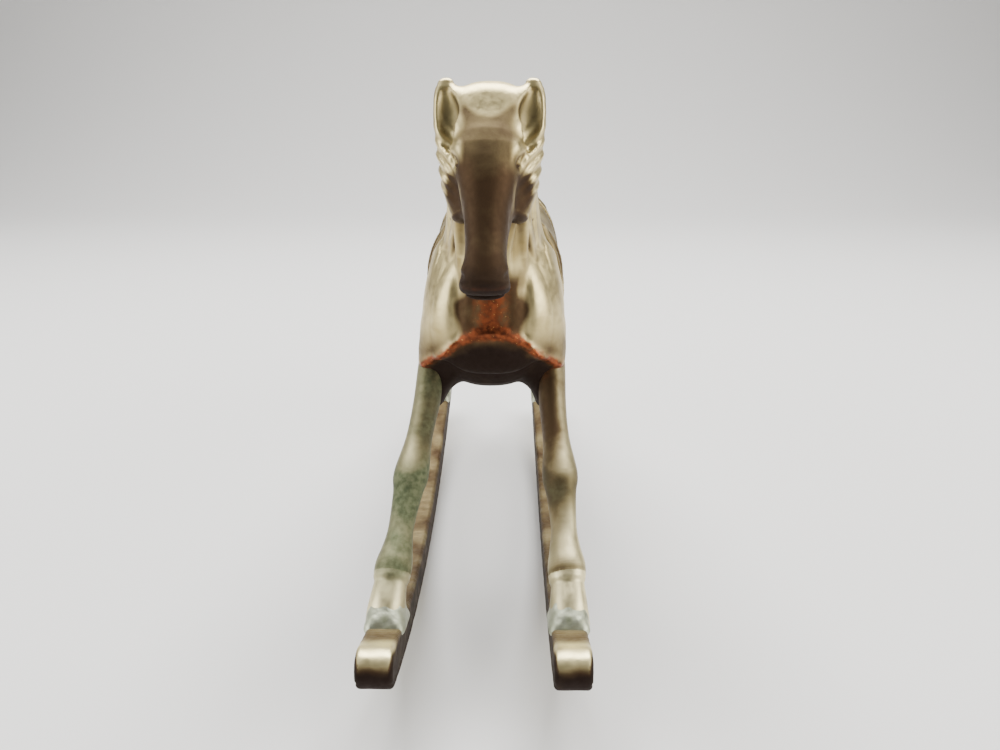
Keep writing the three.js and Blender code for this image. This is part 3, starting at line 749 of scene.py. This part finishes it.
def inside_outline(at, outline):
    """How far each point is outside an outline drawn on the side of the horse, in mm."""
    flat = at[:, 1:]
    nearest = np.full(len(at), 1e6)
    within = np.zeros(len(at), bool)
    for a, b in zip(outline, outline[1:] + outline[:1]):
        a, b = np.array(a, float), np.array(b, float)
        reach = np.clip((flat - a) @ (b - a) / ((b - a) @ (b - a)), 0, 1)
        nearest = np.minimum(nearest, ((flat - a - reach[:, None] * (b - a)) ** 2).sum(1))
        crosses = (a[1] > flat[:, 1]) != (b[1] > flat[:, 1])
        if a[1] != b[1]:
            within ^= crosses & (flat[:, 0] < a[0] + (flat[:, 1] - a[1]) * (b[0] - a[0]) / (b[1] - a[1]))
    return np.sqrt(nearest) * np.where(within, -1, 1)


def saddle(at):
    x, y, z = at.T
    edge = smooth_line([(a, b, 0, 0) for a, b in FLAP_CORNERS], 4)[:, 1:3]
    flap = inside_outline(at, [(-12.0, 92.0), *edge.tolist(), (16.2, 92.0)])
    leather = bar(at, SEAT, 2.4, 0.02)
    # the outer flap ends 1.9 mm short of the skirt below it; both have a rolled edge
    leather += 0.55 * np.clip((flap + 2.2) / 0.35, 0, 1) * np.clip((80 - z) / 2, 0, 1)
    leather -= 0.28 * np.exp(-((flap + 2.75) / 0.32) ** 2) + 0.26 * np.exp(-((flap + 0.5) / 0.35) ** 2)
    leather += 0.22 * np.exp(-((flap + 3.9) / 0.26) ** 2)
    stitch = np.exp(-((flap + 4.6) / 0.26) ** 2) * (0.5 + 0.5 * np.sin(8.2 * (y + z)))
    sides = np.clip((abs(x) - 9) / 3, 0, 1)
    spoke, turn = np.hypot(y - ROSETTE[0], z - ROSETTE[1]), np.arctan2(z - ROSETTE[1], y - ROSETTE[0])
    petals = np.exp(-((spoke - 2.1 - 0.7 * np.cos(6 * turn)) / 0.42) ** 2) + np.exp(-((spoke / 0.8) ** 2))
    leather -= (0.2 * stitch + 0.38 * petals) * sides
    leather -= 0.35 * crease(at, [(-7.5, 73), (-8.6, 67), (-6.6, 62.5)], 0.45) * sides
    # pommel and cantle rolls, and the dip of the seat between them
    top = np.clip((z - 74) / 5, 0, 1)
    leather -= 0.5 * np.exp(-((y + 10.6) / 1.0) ** 2) + 0.6 * np.exp(-((y - 15.0) / 1.2) ** 2) * top
    leather += 0.25 * np.exp(-((y + 8.4) / 0.5) ** 2) + 0.3 * np.exp(-((y - 12.4) / 0.5) ** 2) * top
    back = melt(trunk(at), bar(at, NECK, 2.15, 0.7), 5)
    shell = carve(leather, back + SADDLE_CLEARANCE, 0.1)
    return -melt(-shell, -flap, 0.5)


def paint_saddle(at, out, hollow, ridge):
    # real wear on the ridges, plus a painted highlight on upward-facing surfaces
    worn = 0.25 + 1.0 * ridge - 0.7 * hollow + 0.25 * np.clip(out[:, 2], 0, 1)
    return {"worn": worn, "grime": 0.5 + 0.75 * hollow - 0.8 * ridge + 0.2 * mottle(at, 6),
            "copper": 0.15 * hollow,
            "green": 0.12 * hollow, "soot": 0.55 * hollow - 0.1}


saddle_brass = aged_brass("saddle_brass", polished=(0.68, 0.58, 0.32), dull=(0.22, 0.165, 0.07),
                          rough=0.36, grain=1.3)
saddle_form = surface(saddle, (-17, -14, 55), (17, 18, 87), 0.45)
saddle_piece = casting("saddle_cast", saddle_form, 1, saddle_brass, paint_saddle)
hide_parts("saddle")


# ---------------------------------------------------------------- rockers
# Two bars of rectangular section bent to one curve, with rounded noses, drawn in a little at the
# front. Their tops are filed crosswise and a line is scribed along each side. The noses are painted
# light above and brown to black below, a painted highlight and painted shade.
BAR_ROUND_OFF = 0.85


def rocker(at):
    across, up, beyond, along = along_rocker(at)
    ends = np.hypot(beyond, up) - BAR_HALF_DEEP + BAR_ROUND_OFF
    sides = abs(across) - BAR_HALF_WIDE + BAR_ROUND_OFF
    whole = np.hypot(np.maximum(ends, 0), np.maximum(sides, 0)) - BAR_ROUND_OFF
    whole += np.minimum(np.maximum(ends, sides), 0)
    on_side = np.clip((abs(across) - 2.6) / 0.4, 0, 1)
    whole += on_side * 0.16 * np.exp(-((up + 2.0) / 0.3) ** 2)
    whole += 0.03 + 0.03 * mottle(at, 4.0, 1.3) + 0.02 * np.sin(along * 2.3 + np.sin(along * 0.7)) * (up > 1)
    return whole


def paint_rocker(at, out, hollow, ridge):
    across, up, beyond, along = along_rocker(at)
    nose = np.clip(beyond / 1.0, 0, 1) + np.exp(-((along + 77) / 2.5) ** 2)
    top = np.clip((up - 2.4) / 0.8, 0, 1)
    bottom = np.clip((-up - 2.4) / 0.9, 0, 1)
    side = np.clip((abs(across) - 2.5) / 0.5, 0, 1) * (1 - top)
    nose = np.clip(nose, 0, 1)
    # painted shade: the lower half of each nose is painted brown, then black at the bottom, with a little
    # copper tone; its upper half is painted lighter as a highlight
    nose_lower_shade = np.clip((2.2 - up + 0.4 * mottle(at, 5)) / 2.2, 0, 1) * nose
    nose_underside_shade = np.clip((0.5 - up + 0.4 * mottle(at, 4, 1)) / 2.4, 0, 1) * nose
    worn = 0.20 + 0.25 * top + 0.8 * ridge + 0.5 * nose * (up > 0.3) + 0.5 * bottom
    grime = 0.8 * top + 1.0 * side * (1 - 0.6 * ridge) + 0.95 * nose_lower_shade + 0.4 * bottom
    grime += 0.15 * mottle(at, 12)
    grime -= 0.55 * nose * top
    copper = 0.12 * nose_lower_shade * (1 - nose_underside_shade) + 0.1 * side
    return {"worn": worn, "grime": grime, "copper": copper, "green": 0.08 * side,
            "soot": 1.0 * nose_underside_shade + 0.3 * nose_lower_shade + 0.7 * side, "filing": top * (1 - nose)}


rocker_brass = aged_brass("rocker_brass", polished=(0.70, 0.61, 0.32), dull=(0.30, 0.25, 0.12),
                          rough=0.40, filed=1.6)
rocker_form = surface(rocker, (11.5, -80.5, -1.5), (21.5, 76, 25), 0.5)
for word, side in (("left", 1), ("right", -1)):
    bent = casting(f"rocker_{word}_bar", rocker_form, side, rocker_brass, paint_rocker,
                   place=on_floor)
    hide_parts(f"rocker_{word}")


# ---------------------------------------------------------------- solder
# Tin solder run round each hoof in one go: a smooth lumpy fillet from the hoof down to the rocker's
# top, a little over its edges, gone grey-green where the flux was left on it.
def solder_round(hoof, middle):
    def fillet(at):
        across, up, beyond, along = along_rocker(at)
        foot = bar(at, hoof, 2.15, 0.1, steps=5)
        run = melt(foot + 0.45, up - BAR_HALF_DEEP + 0.4, 6.0) - 0.08 + 0.10 * mottle(at, 2.6, 0.4)
        bound = np.hypot(np.maximum(abs(across) - 2.3, 0), np.maximum(abs(along - middle) - 4.0, 0))
        bound = np.hypot(bound, np.maximum(3.2 - up, 0)) - 1.45
        return -melt(-run, -bound, 1.4)
    return fillet


def paint_solder(at, out, hollow, ridge):
    return {"worn": 0.55 + 0.5 * ridge, "grime": 0.5 * hollow + 0.15 * mottle(at, 3), "copper": 0 * ridge,
            "green": 0.42 + 0.3 * mottle(at, 2.4, 3) - 0.4 * ridge, "soot": 0.2 * hollow}


solder = aged_brass("solder", polished=(0.54, 0.56, 0.42), dull=(0.32, 0.34, 0.24), rough=0.42, grain=1.6)
for name, hoof, place in (("front", FORE_HOOF, -62.3), ("rear", HIND_HOOF, 54.5)):
    middle = BAR_RADIUS * math.asin(place / BAR_RADIUS)
    blob_form = surface(solder_round(hoof, middle), (11.5, place - 9, 8), (21.5, place + 9, 26), 0.4)
    for word, side in (("left", 1), ("right", -1)):
        blob = casting(f"solder_{name}_{word}", blob_form, side, solder, paint_solder,
                       place=on_floor)
        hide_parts(f"solder_collar_{name}_{word}")
